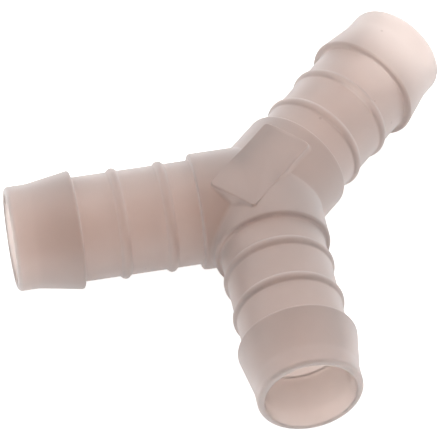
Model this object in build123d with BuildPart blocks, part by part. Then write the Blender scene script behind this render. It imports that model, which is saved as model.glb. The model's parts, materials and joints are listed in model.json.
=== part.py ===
from build123d import *
import math
import os

# Y connector for flexible tubing, moulded in one piece.
#
# The centre lines of the stem and of the two branches lie in the XY plane and meet at the origin.
# The stem runs along +Y, and the branches run down and out to either side of -Y. +Z is the face that
# carries the marking pad. Three plain cylinders meet to make the hub, and each one steps down to a hose
# tail: a plain tube with two rounded gripping rings, then a barb that tapers to a short lead-in. The
# edges are eased by small chamfers. All sizes are in millimetres.

# Hose size and wall
tail_radius = 9.5  # outside of the plain tail, the bore radius of the hose that it fits
wall = 1.3  # plastic between the bore and the outside of the plain tail

# Hub
branch_spread = 90.0  # degrees between the two branches
hub_step = 1.1  # how far the hub stands out from the tails
hub_collar = 1.4  # plain hub left between the crotch of the branches and the step to each tail
hub_edge_ease = 0.35
hub_foot_ease = 0.25

# Gripping rings
ring_height = 0.6
ring_round = 1.0  # radius of the rounded section of a ring
ring_sides = 16  # flats round that section
hub_to_first_ring = 5.6
ring_pitch = 8.5

# Barb
last_ring_to_barb = 7.6
barb_height = 1.36
barb_length = 8.1
barb_edge_ease = 0.45

# Lead-in and mouth
lead_in_length = 4.0
mouth_outer_ease = 0.5
mouth_inner_ease = 0.25

# Marking pad
pad_length = 18.0
pad_width = 9.6
pad_proud = 0.1  # height of the pad's face above the crest of the hub
pad_corner_round = 0.8

# Sizes that follow from the ones above
bore_radius = tail_radius - wall
hub_radius = tail_radius + hub_step
ring_radius = tail_radius + ring_height
barb_radius = tail_radius + barb_height

hub_end = hub_radius / math.tan(math.radians(branch_spread / 2)) + hub_collar
first_ring = hub_end + hub_to_first_ring
second_ring = first_ring + ring_pitch
barb_back = second_ring + last_ring_to_barb
barb_end = barb_back + barb_length
arm_length = barb_end + lead_in_length

pad_top = hub_radius + pad_proud
same_place = 0.001  # two sizes closer than this are the same

arm_angles = {
    "stem": 90.0,
    "left_branch": 270.0 - branch_spread / 2,
    "right_branch": 270.0 + branch_spread / 2,
}


def arm_direction(angle):
    """Unit vector of an arm's centre line, pointing out of its mouth."""
    return Vector(math.cos(math.radians(angle)), math.sin(math.radians(angle)), 0)


def section_plane(angle):
    """Plane of an arm's half section: local X runs out along the arm, and local Y is straight up."""
    out = arm_direction(angle)
    return Plane(origin=(0, 0, 0), x_dir=out, z_dir=out.cross(Vector(0, 0, 1)))


def mouth_plane(angle):
    """Plane of an arm's mouth, facing out."""
    out = arm_direction(angle)
    return Plane(origin=out * arm_length, x_dir=(0, 0, 1), z_dir=out)


def corner(sketch, along, radius):
    """The corner of a half section that lies at this place along the arm and at this radius."""
    return sketch.vertices().sort_by_distance(Vector(along, radius, 0))[0]


def is_lip(edge):
    """True for the circle where a bore meets the face of its mouth."""
    at_mouth = abs(edge.arc_center.length - arm_length) < same_place
    at_bore = abs(edge.radius - bore_radius) < same_place
    return at_mouth and at_bore


with BuildSketch(Plane.XY) as arm_section:
    with BuildLine():
        Polyline(
            (0, 0),
            (0, hub_radius),
            (hub_end, hub_radius),
            (hub_end, tail_radius),
            (barb_back, tail_radius),
            (barb_back, barb_radius),
            (barb_end, tail_radius),
            (arm_length, tail_radius),
            (arm_length, 0),
            close=True,
        )
    make_face()
    chamfer(corner(arm_section, hub_end, hub_radius), hub_edge_ease)
    chamfer(corner(arm_section, hub_end, tail_radius), hub_foot_ease)
    chamfer(corner(arm_section, barb_back, barb_radius), barb_edge_ease)
    chamfer(corner(arm_section, arm_length, tail_radius), mouth_outer_ease)
    with Locations((first_ring, ring_radius - ring_round), (second_ring, ring_radius - ring_round)):
        RegularPolygon(ring_round, ring_sides)

with BuildPart() as y_connector:
    # Three solid arms, each the same half section turned about its own centre line
    for angle in arm_angles.values():
        add(section_plane(angle) * arm_section.sketch)
        revolve(axis=Axis((0, 0, 0), arm_direction(angle)))

    # Marking pad across the top of the hub, in line with the stem
    with BuildSketch(Plane.XY):
        RectangleRounded(pad_width, pad_length, pad_corner_round)
    extrude(amount=pad_top)

    # Bores that meet at the origin
    for angle in arm_angles.values():
        with BuildSketch(mouth_plane(angle)):
            Circle(bore_radius)
        extrude(amount=-arm_length, mode=Mode.SUBTRACT)

    # Eased inner lip of each mouth
    lips = y_connector.edges().filter_by(GeomType.CIRCLE).filter_by(is_lip)
    chamfer(lips, mouth_inner_ease)

y_connector.part.label = "y_connector"

os.makedirs("parts", exist_ok=True)
export_step(y_connector.part, "parts/y_connector.step")

print("hub end", round(hub_end, 2), "first ring", round(first_ring, 2), "second ring", round(second_ring, 2))
print("barb back", round(barb_back, 2), "barb end", round(barb_end, 2), "arm length", round(arm_length, 2))
print("bore radius", round(bore_radius, 2), "volume", round(y_connector.part.volume, 1))
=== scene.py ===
# %% [markdown]
# # A moulded Y connector for hoses
#
# The object is a small fitting that splits one hose into two. It is one piece of milky, slightly
# see-through polypropylene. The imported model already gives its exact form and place, with small edges cut
# flat. This script gives it the skin of the real moulding: round rings, soft edges and a satin,
# light-soaked plastic. Blender works in metres here, so the connector's sizes are written in millimetres
# times MM. The distance of the camera and the size of the floor are in metres.

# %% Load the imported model
import json
import math

import bmesh
import bpy
from mathutils import Matrix, Vector

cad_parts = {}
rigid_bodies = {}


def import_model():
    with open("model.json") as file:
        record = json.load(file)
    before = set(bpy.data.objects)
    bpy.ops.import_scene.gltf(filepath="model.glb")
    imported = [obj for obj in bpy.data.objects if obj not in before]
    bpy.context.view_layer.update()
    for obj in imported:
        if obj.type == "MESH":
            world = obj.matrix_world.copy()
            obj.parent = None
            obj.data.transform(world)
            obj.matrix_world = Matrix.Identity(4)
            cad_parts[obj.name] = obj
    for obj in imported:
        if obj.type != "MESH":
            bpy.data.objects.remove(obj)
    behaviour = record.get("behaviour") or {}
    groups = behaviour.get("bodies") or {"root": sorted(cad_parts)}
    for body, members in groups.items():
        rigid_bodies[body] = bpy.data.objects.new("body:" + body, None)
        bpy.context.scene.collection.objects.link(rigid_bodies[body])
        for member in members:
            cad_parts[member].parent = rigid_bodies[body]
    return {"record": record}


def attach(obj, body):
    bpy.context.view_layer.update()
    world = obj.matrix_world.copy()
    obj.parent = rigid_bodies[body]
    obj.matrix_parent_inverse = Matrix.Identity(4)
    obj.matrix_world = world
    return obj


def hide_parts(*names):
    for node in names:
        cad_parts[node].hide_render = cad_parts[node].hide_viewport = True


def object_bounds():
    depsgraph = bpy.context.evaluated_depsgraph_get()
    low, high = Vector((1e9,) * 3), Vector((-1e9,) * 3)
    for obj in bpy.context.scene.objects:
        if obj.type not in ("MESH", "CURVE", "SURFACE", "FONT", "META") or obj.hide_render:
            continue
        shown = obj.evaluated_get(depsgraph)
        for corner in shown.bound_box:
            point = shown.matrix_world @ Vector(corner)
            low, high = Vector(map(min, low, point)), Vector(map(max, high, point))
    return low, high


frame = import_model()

model_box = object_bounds()
MM = 0.001


def in_mm(corners):
    """The corners of a box as short numbers in millimetres."""
    return [[round(value / MM, 2) for value in corner] for corner in corners]


print("packed model, lowest and highest corner in mm:", in_mm(model_box))

# %% [markdown]
# ## Sizes
#
# The bore and the tail are read from the record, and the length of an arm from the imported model. The rest
# are the driving sizes of the moulding. They could all be typed in, but then a change of hose size would
# have to be made in two places.

# %% Sizes of the connector
mounts = {mount["name"]: mount for mount in frame["record"]["mounts"]}
bore_radius = mounts["stem_bore"]["dims"]["r_mm"] * MM
tail_radius = mounts["stem_tail"]["dims"]["r_mm"] * MM
arm_length = model_box[1].y

hub_step = 1.1 * MM
hub_collar = 1.4 * MM
hub_to_first_ring = 5.6 * MM
ring_height = 0.6 * MM
ring_round = 1.0 * MM
ring_pitch = 8.5 * MM
last_ring_to_barb = 7.6 * MM
barb_height = 1.36 * MM
barb_length = 8.1 * MM

branch_spread = 90.0
arm_angles = [90.0, 270.0 - branch_spread / 2, 270.0 + branch_spread / 2]
flats = 144

hub_radius = tail_radius + hub_step
hub_end = hub_radius / math.tan(math.radians(branch_spread / 2)) + hub_collar
first_ring = hub_end + hub_to_first_ring
second_ring = first_ring + ring_pitch
barb_back = second_ring + last_ring_to_barb
barb_radius = tail_radius + barb_height
barb_end = barb_back + barb_length
print("arm length", round(arm_length / MM, 2), "mm, bore", round(2 * bore_radius / MM, 2), "mm")

# %% Roundings and marking pad
hub_edge_round = 0.5 * MM
hub_foot_round = 0.4 * MM
ring_foot_round = 0.5 * MM
barb_edge_round = 0.5 * MM
barb_foot_round = 0.4 * MM
cone_foot_round = 6.0 * MM
mouth_outer_round = 0.87 * MM
mouth_inner_round = 0.3 * MM
crotch_round = 0.7 * MM
bore_crotch_round = 0.3 * MM

pad_width = 9.6 * MM
pad_length = 18.0 * MM
pad_proud = 0.02 * MM
pad_root_cover = 0.15 * MM
pad_corner_round = 0.8 * MM
pad_edge_round = 0.3 * MM
pad_foot_round = 0.8 * MM

pad_top = hub_radius + pad_proud
pad_root = bore_radius + pad_root_cover
print("pad", round(pad_width / MM, 2), "by", round(pad_length / MM, 2), "mm")

# %% [markdown]
# ## Camera
#
# A long lens a good way off keeps the three arms in true proportion, and a short one would swell the
# nearest mouth. The camera could be placed by hand. Here it follows from the direction it looks from, its
# distance, and where the middle of the hub falls in the frame.

# %% Camera
FRAME_PIXELS = 440
SENSOR = 36.0
CLIP_NEAR = 0.01
CLIP_FAR = 20.0
camera_azimuth = math.radians(34.758)
camera_elevation = math.radians(48.936)
camera_roll = math.radians(-0.742)
camera_distance = 0.7206
focal_pixels = 3976.1
hub_pixel = (259.65, 201.82)

back = Vector((
    math.sin(camera_azimuth) * math.cos(camera_elevation),
    -math.cos(camera_azimuth) * math.cos(camera_elevation),
    math.sin(camera_elevation),
))
level_right = (-back).cross(Vector((0, 0, 1))).normalized()
level_up = level_right.cross(-back)
right = math.cos(camera_roll) * level_right + math.sin(camera_roll) * level_up
up = -math.sin(camera_roll) * level_right + math.cos(camera_roll) * level_up
middle = (FRAME_PIXELS - 1) / 2
across = (hub_pixel[0] - middle) / focal_pixels * camera_distance
above = (middle - hub_pixel[1]) / focal_pixels * camera_distance
camera_place = back * camera_distance - right * across - up * above

camera_data = bpy.data.cameras.new("camera")
camera_data.sensor_width = SENSOR
camera_data.lens = focal_pixels / FRAME_PIXELS * SENSOR
camera_data.clip_start = CLIP_NEAR
camera_data.clip_end = CLIP_FAR
camera = bpy.data.objects.new("camera", camera_data)
bpy.context.scene.collection.objects.link(camera)
turn = Matrix((right, up, back)).transposed().to_4x4()
camera.matrix_world = Matrix.Translation(camera_place) @ turn
bpy.context.scene.camera = camera
print("lens", round(camera_data.lens, 1), "mm")

# %% [markdown]
# ## Section of a tail
#
# Each tail is a turned form, so one half section says it all: out over the edge of the hub, along the
# tube with its two gripping rings, over the barb, round the lip and back along the bore. Sharp corners
# would look like machined metal. A mould leaves every edge a little round, so each corner is replaced by
# an arc that touches both of its sides.

# %% Arcs for the section
ARC_STEP = math.radians(9.0)
LONGEST_STRETCH = 2.0 * MM
SAME_PLACE = 1e-7


def arc(centre, radius, start, turn):
    """Points round a centre, in equal steps, from one angle through a turn."""
    steps = max(2, math.ceil(abs(turn) / ARC_STEP))
    angles = [start + turn * step / steps for step in range(steps + 1)]
    return [centre + radius * Vector((math.cos(angle), math.sin(angle))) for angle in angles]


def rounded_corner(before, corner, after, radius):
    """The arc that replaces a corner between two straight lines."""
    into = (corner - before).normalized()
    out = (after - corner).normalized()
    turn = -into.angle_signed(out)
    reach = radius * math.tan(abs(turn) / 2)
    side = 1 if turn > 0 else -1
    normal = side * Vector((-into.y, into.x))
    centre = corner - into * reach + normal * radius
    start = math.atan2(-normal.y, -normal.x)
    return arc(centre, radius, start, turn)


def ring_section(middle_of_ring):
    """A round gripping ring with a soft foot on either side, along the plain tube."""
    crown_centre = Vector((middle_of_ring, tail_radius + ring_height - ring_round))
    foot_height = ring_foot_round + ring_round - ring_height
    foot_reach = math.sqrt((ring_round + ring_foot_round) ** 2 - foot_height**2)
    lean = math.atan2(foot_height, foot_reach)
    near_foot = Vector((middle_of_ring - foot_reach, tail_radius + ring_foot_round))
    far_foot = Vector((middle_of_ring + foot_reach, tail_radius + ring_foot_round))
    rise = arc(near_foot, ring_foot_round, -math.pi / 2, math.pi / 2 - lean)
    crown = arc(crown_centre, ring_round, math.pi - lean, 2 * lean - math.pi)
    fall = arc(far_foot, ring_foot_round, math.pi + lean, math.pi / 2 - lean)
    return rise + crown[1:-1] + fall


# %% Half section of a tail
hub_reach = hub_end - hub_edge_round
corners = [
    (hub_reach, hub_radius, 0),
    (hub_end, hub_radius, hub_edge_round),
    (hub_end, tail_radius, hub_foot_round),
    (first_ring, tail_radius, "ring"),
    (second_ring, tail_radius, "ring"),
    (barb_back, tail_radius, barb_foot_round),
    (barb_back, barb_radius, barb_edge_round),
    (barb_end, tail_radius, cone_foot_round),
    (arm_length, tail_radius, mouth_outer_round),
    (arm_length, bore_radius, mouth_inner_round),
    (hub_reach, bore_radius, 0),
]


def section_points(corners):
    """All the points of a half section, as (along the arm, distance from its centre line)."""
    points = []
    places = [Vector(corner[:2]) for corner in corners]
    for index, (place, corner) in enumerate(zip(places, corners)):
        if corner[2] == "ring":
            points += ring_section(place.x)
        elif corner[2]:
            points += rounded_corner(places[index - 1], place, places[index + 1], corner[2])
        else:
            points.append(place)
    return points


def spread(points, longest):
    """The same line with no stretch longer than this."""
    filled = [points[0]]
    for start, end in zip(points, points[1:]):
        if (end - start).length < SAME_PLACE:
            continue
        parts = max(1, math.ceil((end - start).length / longest))
        filled += [start.lerp(end, part / parts) for part in range(1, parts + 1)]
    return filled


tail_section = spread(section_points(corners), LONGEST_STRETCH)
widest = max(point.y for point in tail_section)
print("tail section:", len(tail_section), "points, widest", round(widest / MM, 3), "mm")

# %% [markdown]
# ## Three tails by Geometry Nodes
#
# The tails are the same form three times, turned about their own centre lines, so a node tree makes them
# from the half section. A grid gets one column for each point of the section, and every row of it is
# moved to its own angle round the centre line. The tail is then set on three points, each with the angle
# of its arm. The Spin operator could do the same, but the tree has named inputs for its sizes, so another
# form is only another set of values.

# %% Helpers for node trees
def add_node(tree, kind, **settings):
    """A new node with its settings in place."""
    node = tree.nodes.new(kind)
    for name, value in settings.items():
        setattr(node, name, value)
    return node


def math_node(tree, operation, first, second=None):
    """A math node fed by sockets or by plain numbers. Returns its output."""
    node = add_node(tree, "ShaderNodeMath", operation=operation)
    for socket, value in zip(node.inputs, (first, second)):
        if isinstance(value, bpy.types.NodeSocket):
            tree.links.new(value, socket)
        elif value is not None:
            socket.default_value = value
    return node.outputs[0]


# %% Node tree of the tails
def tails_tree():
    """Turns a half section into a tail, and sets one on each arm of the connector."""
    tree = bpy.data.node_groups.new("turned_tails", "GeometryNodeTree")
    face = tree.interface
    face.new_socket("Section", in_out="INPUT", socket_type="NodeSocketGeometry")
    face.new_socket("Flats", in_out="INPUT", socket_type="NodeSocketInt")
    face.new_socket("Stem Angle", in_out="INPUT", socket_type="NodeSocketFloat")
    face.new_socket("Branch Spread", in_out="INPUT", socket_type="NodeSocketFloat")
    face.new_socket("Plastic", in_out="INPUT", socket_type="NodeSocketMaterial")
    face.new_socket("Tails", in_out="OUTPUT", socket_type="NodeSocketGeometry")
    link = tree.links.new
    given = add_node(tree, "NodeGroupInput")
    made = add_node(tree, "NodeGroupOutput")

    # A grid with a column for each point of the section and a row for each angle
    size = add_node(tree, "GeometryNodeAttributeDomainSize", component="MESH")
    link(given.outputs["Section"], size.inputs[0])
    columns = size.outputs["Point Count"]
    grid = add_node(tree, "GeometryNodeMeshGrid")
    link(math_node(tree, "ADD", given.outputs["Flats"], 1), grid.inputs["Vertices X"])
    link(columns, grid.inputs["Vertices Y"])
    index = add_node(tree, "GeometryNodeInputIndex").outputs[0]
    row = math_node(tree, "FLOOR", math_node(tree, "DIVIDE", math_node(tree, "ADD", index, 0.5), columns))
    column = math_node(tree, "SUBTRACT", index, math_node(tree, "MULTIPLY", row, columns))
    angle = math_node(tree, "DIVIDE", math_node(tree, "MULTIPLY", row, 2 * math.pi), given.outputs["Flats"])

    # Each point of the grid takes its place along and out from the section
    pick = add_node(tree, "GeometryNodeSampleIndex", data_type="FLOAT_VECTOR", domain="POINT")
    link(given.outputs["Section"], pick.inputs["Geometry"])
    link(add_node(tree, "GeometryNodeInputPosition").outputs[0], pick.inputs["Value"])
    link(column, pick.inputs["Index"])
    parts = add_node(tree, "ShaderNodeSeparateXYZ")
    link(pick.outputs[0], parts.inputs[0])
    place = add_node(tree, "ShaderNodeCombineXYZ")
    link(parts.outputs["X"], place.inputs["X"])
    link(math_node(tree, "MULTIPLY", parts.outputs["Y"], math_node(tree, "SINE", angle)), place.inputs["Y"])
    link(math_node(tree, "MULTIPLY", parts.outputs["Y"], math_node(tree, "COSINE", angle)), place.inputs["Z"])
    move = add_node(tree, "GeometryNodeSetPosition")
    link(grid.outputs["Mesh"], move.inputs["Geometry"])
    link(place.outputs[0], move.inputs["Position"])

    # One tail on each of three points. Point 0 is the stem, and points 1 and 2 are the branches, half of
    # the spread to either side of straight back.
    points = add_node(tree, "GeometryNodePoints")
    points.inputs["Count"].default_value = 3
    is_stem = math_node(tree, "LESS_THAN", index, 0.5)
    side = math_node(tree, "SUBTRACT", index, 1.5)
    branch = math_node(tree, "MULTIPLY", side, given.outputs["Branch Spread"])
    branch_angle = math_node(tree, "ADD", branch, 1.5 * math.pi)
    back_to_stem = math_node(tree, "SUBTRACT", given.outputs["Stem Angle"], branch_angle)
    turn = math_node(tree, "MULTIPLY", back_to_stem, is_stem)
    heading = add_node(tree, "ShaderNodeCombineXYZ")
    link(math_node(tree, "ADD", branch_angle, turn), heading.inputs["Z"])
    copies = add_node(tree, "GeometryNodeInstanceOnPoints")
    link(points.outputs[0], copies.inputs["Points"])
    link(move.outputs[0], copies.inputs["Instance"])
    link(heading.outputs[0], copies.inputs["Rotation"])
    real = add_node(tree, "GeometryNodeRealizeInstances")
    link(copies.outputs[0], real.inputs[0])
    finish = add_node(tree, "GeometryNodeSetMaterial")
    link(real.outputs[0], finish.inputs["Geometry"])
    link(given.outputs["Plastic"], finish.inputs["Material"])
    link(finish.outputs[0], made.inputs[0])
    return tree


# %% [markdown]
# ## Plastic
#
# Natural polypropylene has no pigment. Light goes into it, is scattered, and comes out on the other side
# of the wall, so the connector looks milky, its limbs glow, and the inside of a mouth is lit through the
# wall behind it. A plain diffuse colour would look like chalk. Most of the light is let through by rough
# transmission, and the rest is scattered just under the skin.
#
# A thick wall takes more of the light than a thin one. A volume inside the wall would give that by
# itself, but it needs many more samples. So each point of the skin stores the thickness of its wall, and
# that picks a painted shade in the tint: pale at a lip, deeper on the tube, deepest at the back of a barb
# and on the hub, in place of the light that the wall takes.
# The bore has a finish of its own, a little glossier, and paler, which paints light into the inside of a
# mouth. Faint clouds in the tint and the gloss, a very fine skin and a few dark grains keep the plastic
# from looking too clean.

# %% Values of the finishes
# Tints of a thin wall, the plain tube and a thick wall, with painted shade: the thicker the wall, the
# deeper the tint, for the light it takes. THICKEST is in millimetres, and the palest and the deepest tint
# are reached at the two shares of it that follow.
THIN = (0.84, 0.75, 0.71)
TUBE = (0.53, 0.37, 0.31)
THICK = (0.33, 0.205, 0.16)
THICKEST = 3.0
RAMP_START = 0.1
RAMP_END = 0.9
tube_wall = (tail_radius - bore_radius) / MM

# Light in the plastic. The scatter radius is for red, green and blue, in multiples of the scatter scale.
IOR = 1.49
THROUGH = 0.92
SCATTER_RADIUS = (1.0, 0.75, 0.65)
SCATTER_SCALE = 2.0 * MM

# Satin of the outside
ROUGH = 0.5
SHEEN = 0.7
SHEEN_ROUGH = 0.6
SHEEN_TINT = (1.0, 0.92, 0.90)
COAT = 1.0
COAT_ROUGH = 0.55
COAT_IOR = 1.9

# Bore: the same plastic with a paler tint, which paints light into the inside of a mouth
BORE_TINT_AND_LIGHT = (0.99, 0.96, 0.95)
BORE_CLOUD = 0.94
BORE_THROUGH = 0.97
BORE_ROUGH = 0.35

# Clouds, fine skin and grains. Each scale is the number of waves or cells in a metre.
CLOUD_DETAIL = 3.0
CLOUD_LOW = 0.2
CLOUD_HIGH = 0.8
FLOW_SCALE = 110.0
FLOW_SPREAD = 0.05
GLOSS_SCALE = 260.0
GLOSS_SPREAD = 0.05
SKIN_SCALE = 900.0
SKIN_DEPTH = 0.004 * MM
SPECK_SCALE = 420.0
SPECK_SIZE = 0.12
SPECK_SHARE = 0.05
SPECK_DEPTH = 0.35

print("tint under a thin, a plain and a thick wall:", THIN, TUBE, THICK)


# %% Clouds and grains
def mottle(tree, scale, low, high):
    """Soft clouds of a value, mostly between low and high, fixed to the piece."""
    place = add_node(tree, "ShaderNodeTexCoord")
    noise = add_node(tree, "ShaderNodeTexNoise")
    noise.inputs["Scale"].default_value = scale
    noise.inputs["Detail"].default_value = CLOUD_DETAIL
    tree.links.new(place.outputs["Object"], noise.inputs["Vector"])
    value = add_node(tree, "ShaderNodeMapRange", clamp=False)
    tree.links.new(noise.outputs["Fac"], value.inputs["Value"])
    value.inputs["From Min"].default_value = CLOUD_LOW
    value.inputs["From Max"].default_value = CLOUD_HIGH
    value.inputs["To Min"].default_value = low
    value.inputs["To Max"].default_value = high
    return value.outputs["Result"]


def specks(tree):
    """One where a dark grain of dust is caught in the plastic, and zero elsewhere."""
    place = add_node(tree, "ShaderNodeTexCoord")
    cells = add_node(tree, "ShaderNodeTexVoronoi")
    cells.inputs["Scale"].default_value = SPECK_SCALE
    tree.links.new(place.outputs["Object"], cells.inputs["Vector"])
    near = math_node(tree, "LESS_THAN", cells.outputs["Distance"], SPECK_SIZE)
    chosen = add_node(tree, "ShaderNodeSeparateColor")
    tree.links.new(cells.outputs["Color"], chosen.inputs["Color"])
    rare = math_node(tree, "GREATER_THAN", chosen.outputs["Red"], 1 - SPECK_SHARE)
    return math_node(tree, "MULTIPLY", near, rare)


# %% Finishes of the plastic
def polypropylene(name, through, rough):
    """Milky plastic that lets most of the light through, with a faintly uneven gloss."""
    material = bpy.data.materials.new(name)
    material.use_nodes = True
    tree = material.node_tree
    shader = tree.nodes["Principled BSDF"]
    shader.inputs["IOR"].default_value = IOR
    shader.inputs["Transmission Weight"].default_value = through
    shader.inputs["Subsurface Weight"].default_value = 1.0
    shader.inputs["Subsurface Radius"].default_value = SCATTER_RADIUS
    shader.inputs["Subsurface Scale"].default_value = SCATTER_SCALE
    shader.subsurface_method = "RANDOM_WALK"
    uneven = mottle(tree, GLOSS_SCALE, rough - GLOSS_SPREAD, rough + GLOSS_SPREAD)
    tree.links.new(uneven, shader.inputs["Roughness"])
    return material, tree, shader


def outer_finish():
    """The satin outside: the thicker the wall beneath, the deeper the painted shade in its tint."""
    material, tree, shader = polypropylene("natural_polypropylene", THROUGH, ROUGH)
    shader.inputs["Sheen Weight"].default_value = SHEEN
    shader.inputs["Sheen Roughness"].default_value = SHEEN_ROUGH
    shader.inputs["Sheen Tint"].default_value = (*SHEEN_TINT, 1)
    shader.inputs["Coat Weight"].default_value = COAT
    shader.inputs["Coat Roughness"].default_value = COAT_ROUGH
    shader.inputs["Coat IOR"].default_value = COAT_IOR
    skin = add_node(tree, "ShaderNodeBump")
    skin.inputs["Strength"].default_value = 1.0
    skin.inputs["Distance"].default_value = SKIN_DEPTH
    tree.links.new(mottle(tree, SKIN_SCALE, 0.0, 1.0), skin.inputs["Height"])
    tree.links.new(skin.outputs["Normal"], shader.inputs["Normal"])
    # The wall thickness picks a painted shade: a deeper tint where more plastic would take the light.
    wall = add_node(tree, "ShaderNodeAttribute", attribute_name="wall")
    thickness = math_node(tree, "DIVIDE", wall.outputs["Fac"], THICKEST)
    clouded = math_node(tree, "ADD", thickness, mottle(tree, FLOW_SCALE, -FLOW_SPREAD, FLOW_SPREAD))
    grains = math_node(tree, "MULTIPLY", specks(tree), SPECK_DEPTH)
    depth = math_node(tree, "ADD", clouded, grains)
    tint = add_node(tree, "ShaderNodeValToRGB")
    tree.links.new(depth, tint.inputs["Fac"])
    stops = tint.color_ramp.elements
    stops[0].position = RAMP_START
    stops[0].color = (*THIN, 1)
    stops[1].position = RAMP_END
    stops[1].color = (*THICK, 1)
    stops.new(tube_wall / THICKEST).color = (*TUBE, 1)
    tree.links.new(tint.outputs["Color"], shader.inputs["Base Color"])
    return material


def bore_finish():
    """The inside, glossier as the core pins of the mould leave it, and paler, a painted light inside the
    mouths.
    """
    material, tree, shader = polypropylene("natural_polypropylene_bore", BORE_THROUGH, BORE_ROUGH)
    tint = add_node(tree, "ShaderNodeMix", data_type="RGBA")
    tree.links.new(mottle(tree, FLOW_SCALE, 0.0, 1.0), tint.inputs["Factor"])
    tint.inputs["A"].default_value = (*BORE_TINT_AND_LIGHT, 1)
    tint.inputs["B"].default_value = (*[BORE_CLOUD * part for part in BORE_TINT_AND_LIGHT], 1)
    tree.links.new(tint.outputs["Result"], shader.inputs["Base Color"])
    return material


plastic = outer_finish()
bore_plastic = bore_finish()
print("finishes:", plastic.name, "and", bore_plastic.name)

# %% [markdown]
# ## The tails as a mesh
#
# The half section becomes a plain line of points, and the node tree above turns it. Its sizes go in by
# the identifier of each input, before anything is worked out. The result is then kept as a plain mesh and
# the tree is taken off, because the tails still have to be welded to the hub.

# %% Objects from plain lists
def mesh_object(name, verts, edges=(), faces=()):
    """A new object in the scene from plain lists."""
    mesh = bpy.data.meshes.new(name)
    mesh.from_pydata([tuple(v) for v in verts], list(edges), list(faces))
    made = bpy.data.objects.new(name, mesh)
    bpy.context.scene.collection.objects.link(made)
    return made


# %% Make the three tails
section_edges = [(i, i + 1) for i in range(len(tail_section) - 1)]
section_object = mesh_object("tail_section", [(p.x, p.y, 0) for p in tail_section], section_edges)
tails_modifier = section_object.modifiers.new("turned_tails", "NODES")
tails_modifier.node_group = tails_tree()
tail_inputs = {
    "Flats": flats,
    "Stem Angle": math.radians(arm_angles[0]),
    "Branch Spread": math.radians(branch_spread),
    "Plastic": plastic,
}
for item in tails_modifier.node_group.interface.items_tree:
    if item.in_out == "INPUT" and item.name in tail_inputs:
        tails_modifier[item.identifier] = tail_inputs[item.name]
section_object.update_tag()
bpy.context.view_layer.update()
evaluated = section_object.evaluated_get(bpy.context.evaluated_depsgraph_get())
tails_mesh = bpy.data.meshes.new_from_object(evaluated)
section_object.modifiers.remove(tails_modifier)
bpy.data.objects.remove(section_object)
print("tails:", len(tails_mesh.polygons), "faces")

# %% [markdown]
# ## Hub
#
# The hub is where three tubes of one size run into each other. At any one height each tube is a straight
# strip, so the outline at that height is three strips that meet in corners. Going from the crest down to
# the floor of the hub, each corner moves out and back, and that draws the valley between two arms. Rows of
# such outlines make the skin, with an arc in each corner for the soft crotch of a moulding. A Boolean
# union of three cylinders would leave hard valleys. The inside of the hub, where the bores meet, is the
# same skin at the radius of the bore.

# %% Skin where the arms meet
LEG_STEPS = 14
CROTCH_STEPS = 8


def junction_rows(radius, crotch, first_angle, second_angle):
    """Rows of points from one arm to the next one round, from the crest down to the lowest line."""
    opening = second_angle - first_angle
    first = Vector((math.cos(first_angle), math.sin(first_angle)))
    second = Vector((math.cos(second_angle), math.sin(second_angle)))
    first_side = Vector((-first.y, first.x))
    second_side = Vector((second.y, -second.x))
    halfway = (first + second).normalized()
    rows = []
    for step in range(flats // 2 + 1):
        around = 2 * math.pi * step / flats
        half_width = radius * math.sin(around)
        height = radius * math.cos(around)
        soft = crotch * math.sin(around)
        corner_at = half_width / math.tan(opening / 2)
        leg_end = corner_at + soft / math.tan(opening / 2)
        corner = first * corner_at + first_side * half_width
        centre = corner + halfway * (soft / math.sin(opening / 2))
        legs = [hub_reach + (leg_end - hub_reach) * leg / LEG_STEPS for leg in range(LEG_STEPS + 1)]
        row = [first * leg + first_side * half_width for leg in legs]
        for part in range(1, CROTCH_STEPS):
            angle = first_angle + math.pi / 2 - (math.pi - opening) * part / CROTCH_STEPS
            row.append(centre - soft * Vector((math.cos(angle), math.sin(angle))))
        row += [second * leg + second_side * half_width for leg in reversed(legs)]
        rows.append([Vector((point.x, point.y, height)) for point in row])
    return rows


def junction_skin(radius, crotch):
    """(points, faces) of the skin round all three crotches."""
    angles = [math.radians(angle) for angle in arm_angles]
    angles.append(angles[0] + 2 * math.pi)
    verts, faces = [], []
    for first_angle, second_angle in zip(angles, angles[1:]):
        rows = junction_rows(radius, crotch, first_angle, second_angle)
        start, width = len(verts), len(rows[0])
        verts += [point for row in rows for point in row]
        for r in range(len(rows) - 1):
            for c in range(width - 1):
                at = start + r * width + c
                faces.append((at, at + 1, at + width + 1, at + width))
    return verts, faces


hub_skin = junction_skin(hub_radius, crotch_round)
bore_skin = junction_skin(bore_radius, bore_crotch_round)
print("hub skin:", len(hub_skin[1]), "faces, bore skin:", len(bore_skin[1]), "faces")

# %% [markdown]
# ## One closed body
#
# The tails and the two skins share their rims point for point, so they only have to be welded. A closed
# body matters here: light travels inside the wall, and a gap would let it out.

# %% Weld the body
WELD = 0.002 * MM

body_mesh = bmesh.new()
body_mesh.from_mesh(tails_mesh)
for verts, faces in (hub_skin, bore_skin):
    points = [body_mesh.verts.new(point) for point in verts]
    for face in faces:
        body_mesh.faces.new([points[i] for i in face])
bmesh.ops.remove_doubles(body_mesh, verts=body_mesh.verts, dist=WELD)
bmesh.ops.dissolve_degenerate(body_mesh, edges=body_mesh.edges, dist=WELD)
bmesh.ops.recalc_face_normals(body_mesh, faces=body_mesh.faces)
open_edges = sum(1 for edge in body_mesh.edges if len(edge.link_faces) != 2)
volume = round(body_mesh.calc_volume() / MM**3)
print("body:", len(body_mesh.faces), "faces, open edges:", open_edges, "volume", volume, "mm3")

body = mesh_object("connector_body", [])
body_mesh.to_mesh(body.data)
body_mesh.free()
print("welded:", len(body.data.vertices), "points")

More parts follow.
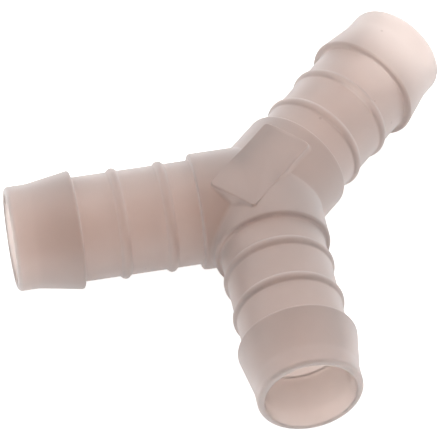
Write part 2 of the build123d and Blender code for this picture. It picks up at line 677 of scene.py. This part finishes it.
# %% [markdown]
# ## Marking pad
#
# A flat pad crosses the top of the hub in line with the stem, hardly above the crests of the three arms.
# On the real moulding it carries the marking. Here its face is left bare. A plain block sunk into the hub
# would meet it in a hard line, so the foot of this block is draped: each point of its outline knows how
# high the hub is beneath it, and a hollow arc runs out onto the hub from there. Where the pad is hardly
# proud of the hub, the arcs get smaller with the height of its wall, and the pad fades into the crest.

# %% Values of the pad
# The root and the face reach a little in from the outline. The foot and the edge are rounded by no more
# than FOOT_SHARE and EDGE_SHARE of the height of the pad's wall.
PAD_STEP = 0.4 * MM
PAD_CORNER_STEPS = 6
PAD_ARC_STEPS = 5
SUNK = 0.05 * MM
ROOT_INSET = 0.5 * MM
FACE_INSET = 0.6 * MM
FOOT_SHARE = 0.5
EDGE_SHARE = 0.4
print("a point of the pad's outline about every", round(PAD_STEP / MM, 2), "mm")

# %% Height of the hub under the pad
headings = [Vector((math.cos(math.radians(a)), math.sin(math.radians(a)))) for a in arm_angles]


def hub_height(place):
    """Height of the top of the hub over a place on the plane of the centre lines."""
    heights = []
    for heading in headings:
        aside = heading.x * place.y - heading.y * place.x
        if place.dot(heading) >= 0 and abs(aside) < hub_radius:
            heights.append(math.sqrt(hub_radius**2 - aside**2))
    return max(heights)


crest_height = hub_height(Vector((0, 0)))
valley_height = hub_height(Vector((0, -pad_length / 2)))
print("hub height under the pad's middle", round(crest_height / MM, 2), "mm")
print("hub height at the pad's front end", round(valley_height / MM, 2), "mm")

# %% Outline of the pad
def pad_outline():
    """(place, direction out) for each point round the pad, anticlockwise."""
    half = Vector((pad_width / 2 - pad_corner_round, pad_length / 2 - pad_corner_round))
    outline = []
    for quarter, (side_x, side_y) in enumerate(((1, 1), (-1, 1), (-1, -1), (1, -1))):
        centre = Vector((side_x * half.x, side_y * half.y))
        for step in range(PAD_CORNER_STEPS + 1):
            angle = (quarter + step / PAD_CORNER_STEPS) * math.pi / 2
            out = Vector((math.cos(angle), math.sin(angle)))
            outline.append((centre + out * pad_corner_round, out))
        side = 2 * (half.x if quarter % 2 == 0 else half.y)
        along = Vector((-out.y, out.x))
        steps = round(side / PAD_STEP)
        start = centre + out * pad_corner_round
        outline += [(start + along * (side * step / steps), out) for step in range(1, steps)]
    return outline


outline = pad_outline()
print("pad outline:", len(outline), "points")

# %% Marking pad
def pad_profile(place, out):
    """The points from the root of the pad, over its foot and edge, to its flat face."""
    wall = pad_top - hub_height(place)
    foot = min(pad_foot_round, FOOT_SHARE * wall)
    edge = min(pad_edge_round, EDGE_SHARE * wall)
    profile = [(place - out * ROOT_INSET, pad_root)]
    for step in range(PAD_ARC_STEPS + 1):
        lean = math.pi / 2 * (1 - step / PAD_ARC_STEPS)
        spot = place + out * foot * (1 - math.cos(lean))
        sink = SUNK if step == 0 else 0
        profile.append((spot, hub_height(spot) + foot * (1 - math.sin(lean)) - sink))
    for step in range(PAD_ARC_STEPS + 1):
        lean = math.pi / 2 * step / PAD_ARC_STEPS
        spot = place - out * edge * (1 - math.cos(lean))
        profile.append((spot, pad_top - edge * (1 - math.sin(lean))))
    profile.append((place - out * FACE_INSET, pad_top))
    return [Vector((spot.x, spot.y, height)) for spot, height in profile]


profiles = [pad_profile(place, out) for place, out in outline]
levels = list(zip(*profiles))
round_trip = len(outline)
pad_verts = [point for level in levels for point in level]
pad_faces = [tuple(reversed(range(round_trip)))]
for level in range(len(levels) - 1):
    for i in range(round_trip):
        low, following = level * round_trip, (i + 1) % round_trip
        pad_faces.append((low + i, low + following, low + round_trip + following, low + round_trip + i))
top = (len(levels) - 1) * round_trip
pad_faces.append(tuple(range(top, top + round_trip)))
pad = mesh_object("marking_pad", pad_verts, (), pad_faces)
print("pad:", len(pad_faces), "faces, face at", round(pad_top / MM, 2), "mm")

# %% Join the pad to the hub
union = body.modifiers.new("pad", "BOOLEAN")
union.operation = "UNION"
union.solver = "EXACT"
union.object = pad
bpy.context.view_layer.update()
joined = bpy.data.meshes.new_from_object(body.evaluated_get(bpy.context.evaluated_depsgraph_get()))
body.modifiers.remove(union)
bpy.data.objects.remove(pad)

connector = bpy.data.objects.new("y_connector_moulding", joined)
bpy.context.scene.collection.objects.link(connector)
bpy.data.objects.remove(body)
print("joined:", len(joined.vertices), "points")

# %% [markdown]
# ## Finish and thickness of each place
#
# The plastic needs to know two things of each place: whether it lies in a bore, and how thick the wall
# is there. Rays cast through the mesh could measure the wall, but the bores are plain cylinders, so the
# distance from the nearest bore says the same at once. Near a mouth, light also enters at the lip, so
# the wall counts as no thicker than the way to the mouth, and as LIP_WALL at the mouth itself. That
# paints the lip paler, as light coming in through it.

# %% Bore faces
# A face counts as bore when its middle is within this distance of the bore's radius.
BORE_BAND = 0.06 * MM

joined.materials.clear()
joined.materials.append(plastic)
joined.materials.append(bore_plastic)


def in_bore(face):
    """True for a face on one of the three bores."""
    for heading in headings:
        along = face.center.x * heading.x + face.center.y * heading.y
        aside = face.center.x * heading.y - face.center.y * heading.x
        from_axis = math.hypot(aside, face.center.z)
        if along >= 0 and abs(from_axis - bore_radius) < BORE_BAND:
            return True
    return False


for face in joined.polygons:
    face.material_index = 1 if in_bore(face) else 0
print("bore faces:", sum(face.material_index for face in joined.polygons))

# %% Thickness of the wall
# The wall counted at a mouth, thinner than it is, so that the lip takes a paler tint of painted light.
LIP_WALL = 0.3 * MM


def wall_under(point):
    """Thickness of plastic, in millimetres, under a point of the outside, counted thinner near a mouth, which
    gives the lip a painted light.
    """
    thinnest = THICKEST * MM
    for heading in headings:
        along = point.x * heading.x + point.y * heading.y
        aside = point.x * heading.y - point.y * heading.x
        if along >= 0:
            from_bore = math.hypot(aside, point.z) - bore_radius
            from_mouth = arm_length - along + LIP_WALL
            thinnest = min(thinnest, max(from_bore, 0), from_mouth)
    return thinnest / MM


walls = joined.attributes.new("wall", "FLOAT", "POINT")
thicknesses = [wall_under(vertex.co) for vertex in joined.vertices]
walls.data.foreach_set("value", thicknesses)
print("wall from", round(min(thicknesses), 2), "to", round(max(thicknesses), 2), "mm")

# %% Hand the skin over
SHARP_FROM = math.radians(35)

joined.shade_smooth()
joined.set_sharp_from_angle(angle=SHARP_FROM)
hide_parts("y_connector")
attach(connector, "root")
print("connector:", len(joined.polygons), "faces")

# %% [markdown]
# ## Floor and light
#
# The connector lies on a pale table inside a light tent. The camera looks in through the opening of the
# tent, so what faces it gets less light than what faces the walls. An area lamp would do too, but on this
# satin skin it leaves a bright streak.
#
# The table reads as white to the camera, and to the light that the plastic mirrors or lets through. For
# the camera it glows by FLOOR_GLOW on top of the light that falls on it. At 0.8 that is more than white
# even beside the piece, so the soft shadow of the piece is clipped and doesn't show. At 0.4 it shows. The
# light that passes through the plastic still carries the shadow, weakened by FLOOR_EVEN. A brighter tent
# would make the table white as well, but would wash out the plastic.

# %% Floor
floor_height = model_box[0].z
FLOOR_SIZE = 3.0
FLOOR_ROUGH = 0.8
FLOOR_GLOW = 0.8
FLOOR_EVEN = 0.3
FLOOR_WHITE = 0.95


def floor_material():
    """A pale table that glows white for the camera and for the plastic."""
    material = bpy.data.materials.new("pale_table")
    material.use_nodes = True
    tree = material.node_tree
    shader = tree.nodes["Principled BSDF"]
    shader.inputs["Base Color"].default_value = (FLOOR_WHITE, FLOOR_WHITE, FLOOR_WHITE, 1)
    shader.inputs["Roughness"].default_value = FLOOR_ROUGH
    path = add_node(tree, "ShaderNodeLightPath")
    glossy, through = path.outputs["Is Glossy Ray"], path.outputs["Is Transmission Ray"]
    by_plastic = math_node(tree, "MAXIMUM", glossy, through)
    by_camera = math_node(tree, "MULTIPLY", path.outputs["Is Camera Ray"], FLOOR_GLOW)
    shader.inputs["Emission Color"].default_value = (1, 1, 1, 1)
    tree.links.new(math_node(tree, "MAXIMUM", by_camera, by_plastic), shader.inputs["Emission Strength"])
    white = add_node(tree, "ShaderNodeEmission")
    white.inputs["Strength"].default_value = 1.0
    mix = add_node(tree, "ShaderNodeMixShader")
    even = math_node(tree, "MULTIPLY", through, FLOOR_EVEN)
    tree.links.new(even, mix.inputs["Fac"])
    tree.links.new(shader.outputs["BSDF"], mix.inputs[1])
    tree.links.new(white.outputs["Emission"], mix.inputs[2])
    tree.links.new(mix.outputs["Shader"], tree.nodes["Material Output"].inputs["Surface"])
    return material


sides = ((-1, -1), (1, -1), (1, 1), (-1, 1))
floor_corners = [(x * FLOOR_SIZE, y * FLOOR_SIZE, floor_height) for x, y in sides]
floor = mesh_object("floor", floor_corners, (), [(0, 1, 2, 3)])
floor.data.materials.append(floor_material())
print("floor at", round(floor_height / MM, 2), "mm")

# %% Light tent
# The strength goes from TENT to OPENING between two cosines of the angle from the middle of the opening.
TENT = 1.3
OPENING = 0.3
EDGE_IN = 0.95
EDGE_OUT = 0.4

world = bpy.data.worlds.new("light_tent")
bpy.context.scene.world = world
world.use_nodes = True
tent = world.node_tree
sky = tent.nodes["Background"]
sky.inputs["Color"].default_value = (1, 1, 1, 1)
direction = add_node(tent, "ShaderNodeTexCoord")
toward = add_node(tent, "ShaderNodeVectorMath", operation="DOT_PRODUCT")
tent.links.new(direction.outputs["Generated"], toward.inputs[0])
toward.inputs[1].default_value = back
strength = add_node(tent, "ShaderNodeMapRange", interpolation_type="SMOOTHSTEP")
tent.links.new(toward.outputs["Value"], strength.inputs["Value"])
strength.inputs["From Min"].default_value = EDGE_OUT
strength.inputs["From Max"].default_value = EDGE_IN
strength.inputs["To Min"].default_value = TENT
strength.inputs["To Max"].default_value = OPENING
tent.links.new(strength.outputs["Result"], sky.inputs["Strength"])

bpy.context.scene.view_settings.view_transform = "Standard"
print("tent", TENT, "at the walls and", OPENING, "at the opening")

# %% [markdown]
# ## Close
#
# The box of the imported model is printed once more, because the skin must not change the size.

# %% Sizes and finish
print("packed model, lowest and highest corner in mm:", in_mm(model_box))
